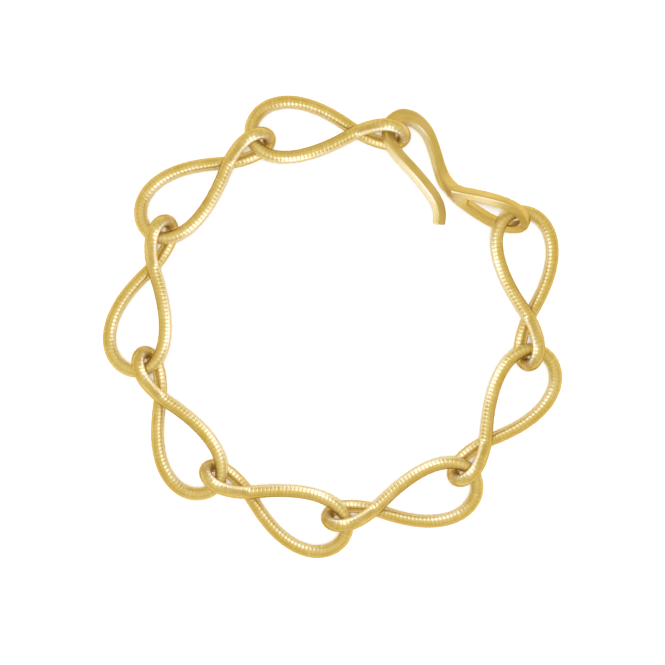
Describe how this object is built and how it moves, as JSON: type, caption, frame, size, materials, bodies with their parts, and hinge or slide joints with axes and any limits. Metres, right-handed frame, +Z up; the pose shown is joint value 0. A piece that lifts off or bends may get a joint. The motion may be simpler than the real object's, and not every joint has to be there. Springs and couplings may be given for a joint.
{
  "type": "link bracelet",
  "caption": "Closed bracelet of interlocked figure-eight links in finely ribbed round wire, joined by a hook clasp with a closed eye.",
  "frame": {"origin": "middle of the bracelet's outline, on the table", "axes": "+Z up from the table on which the bracelet lies, +Y towards the hook's bend, which lies at the back as the picture shows it from above, +X to the right there"},
  "size_m": [0.0692, 0.0696, 0.0079],
  "materials": {
    "ribbed_gold": "satin gold plating over fine cross ribs",
    "brushed_gold": "smooth gold plating, lightly brushed along the wire"
  },
  "bodies": {
    "root": {"link_1": "ribbed_gold", "link_2": "ribbed_gold", "link_3": "ribbed_gold", "link_4": "ribbed_gold", "link_5": "ribbed_gold", "link_6": "ribbed_gold", "link_7": "ribbed_gold", "link_8": "ribbed_gold", "hook_clasp": "brushed_gold"}
  },
  "joints": []
}
